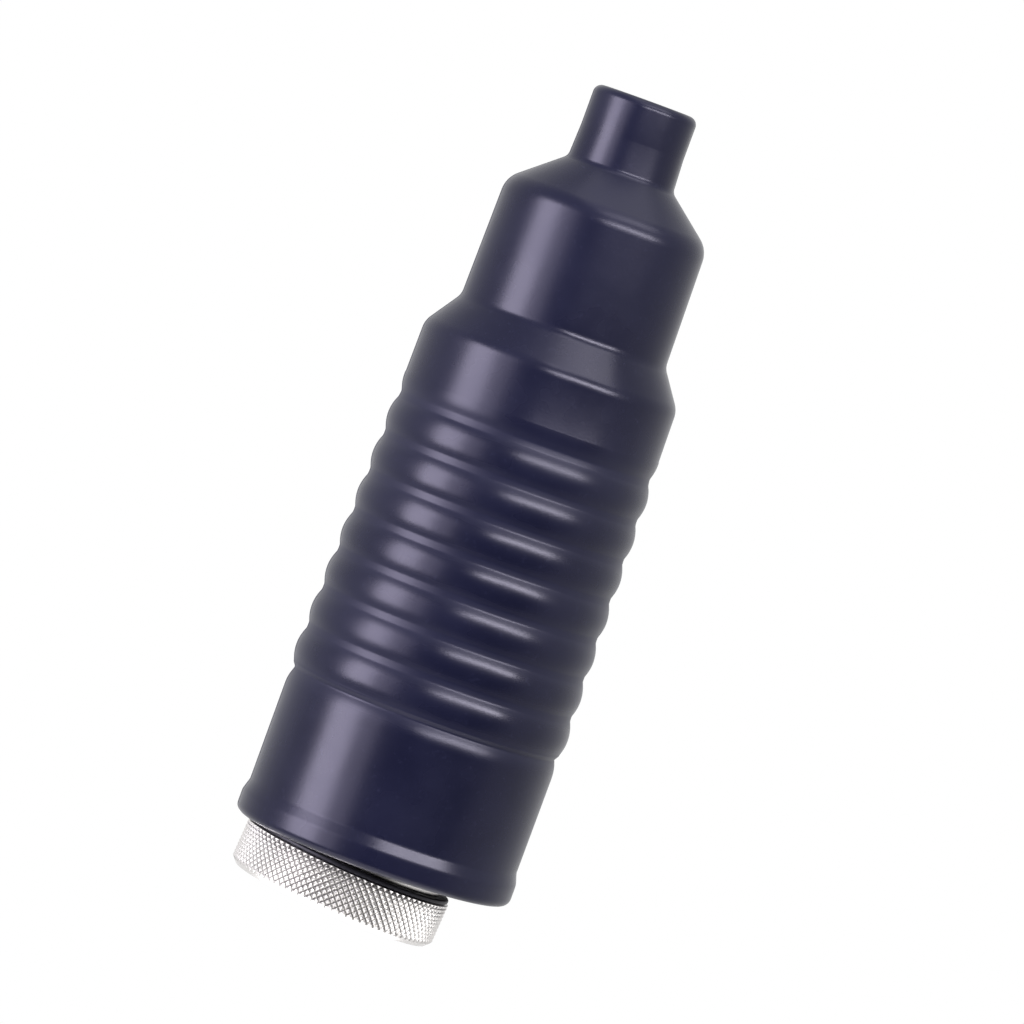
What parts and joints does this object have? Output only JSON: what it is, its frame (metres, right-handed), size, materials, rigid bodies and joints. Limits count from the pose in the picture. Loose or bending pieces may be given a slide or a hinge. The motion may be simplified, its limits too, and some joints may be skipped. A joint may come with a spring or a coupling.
{
  "type": "quick disconnect coupler",
  "caption": "Air line socket in a ribbed rubber boot: knurled sprung sleeve, ball lock, check valve and a barbed hose end inside a stepped cover.",
  "frame": {"origin": "centre of the mouth: the point on the socket's axis in the plane of the sleeve's and body's front faces", "axes": "+Z along the socket's axis from the mouth to the hose, +X the way the boot leans, +Y completes a right-handed set"},
  "size_m": [0.0391, 0.0362, 0.1082],
  "materials": {
    "boot_rubber": "satin moulded rubber",
    "sleeve_plate": "nickel plated, knurled band",
    "bumper_rubber": "matt",
    "spring_wire": "drawn wire",
    "ring_steel": "phosphated spring steel",
    "body_plate": "nickel plated, turned",
    "ball_steel": "polished",
    "seal_rubber": "smooth nitrile",
    "valve_brass": "turned",
    "adapter_plate": "nickel plated, turned",
    "washer_copper": "satin copper",
    "nut_brass": "turned"
  },
  "bodies": {
    "socket": {"socket_body": "body_plate", "retaining_ring": "ring_steel", "sleeve_spring": "spring_wire", "plug_seal": "seal_rubber", "valve_seat_ring": "valve_brass", "valve_spring": "spring_wire", "valve_guide": "valve_brass", "hose_adapter": "adapter_plate", "adapter_washer": "washer_copper", "hose_nut": "nut_brass"},
    "sleeve": {"sleeve": "sleeve_plate", "sleeve_bumper": "bumper_rubber"},
    "boot": {"boot": "boot_rubber"},
    "poppet": {"valve_poppet": "valve_brass", "valve_o_ring": "seal_rubber"},
    "ball_1": {"lock_ball_1": "ball_steel"},
    "ball_2": {"lock_ball_2": "ball_steel"},
    "ball_3": {"lock_ball_3": "ball_steel"},
    "ball_4": {"lock_ball_4": "ball_steel"},
    "ball_5": {"lock_ball_5": "ball_steel"},
    "ball_6": {"lock_ball_6": "ball_steel"}
  },
  "joints": [
    {"name": "sleeve_slide", "type": "slide", "parent": "socket", "child": "sleeve", "axis": [0, 0, 1], "range_m": [0, 0.004], "stiffness_N_per_m": 4000, "springref_m": -0.005, "deforming": ["sleeve_spring"]},
    {"name": "poppet_slide", "type": "slide", "parent": "socket", "child": "poppet", "axis": [0, 0, 1], "range_m": [0, 0.004], "stiffness_N_per_m": 900, "springref_m": -0.006, "deforming": ["valve_spring"]},
    {"name": "boot_slide", "type": "slide", "parent": "socket", "child": "boot", "axis": [0, 0, 1], "range_m": [0, 0.09]},
    {"name": "ball_1_slide", "type": "slide", "parent": "socket", "child": "ball_1", "axis": [1, 0, 0], "range_m": [0, 0.001]},
    {"name": "ball_2_slide", "type": "slide", "parent": "socket", "child": "ball_2", "axis": [0.5, 0.866, 0], "range_m": [0, 0.001]},
    {"name": "ball_3_slide", "type": "slide", "parent": "socket", "child": "ball_3", "axis": [-0.5, 0.866, 0], "range_m": [0, 0.001]},
    {"name": "ball_4_slide", "type": "slide", "parent": "socket", "child": "ball_4", "axis": [-1, 0, 0], "range_m": [0, 0.001]},
    {"name": "ball_5_slide", "type": "slide", "parent": "socket", "child": "ball_5", "axis": [-0.5, -0.866, 0], "range_m": [0, 0.001]},
    {"name": "ball_6_slide", "type": "slide", "parent": "socket", "child": "ball_6", "axis": [0.5, -0.866, 0], "range_m": [0, 0.001]}
  ],
  "couplings": [
    {"joint": "ball_1_slide", "follows": "sleeve_slide", "ratio": 0.25},
    {"joint": "ball_2_slide", "follows": "sleeve_slide", "ratio": 0.25},
    {"joint": "ball_3_slide", "follows": "sleeve_slide", "ratio": 0.25},
    {"joint": "ball_4_slide", "follows": "sleeve_slide", "ratio": 0.25},
    {"joint": "ball_5_slide", "follows": "sleeve_slide", "ratio": 0.25},
    {"joint": "ball_6_slide", "follows": "sleeve_slide", "ratio": 0.25}
  ]
}
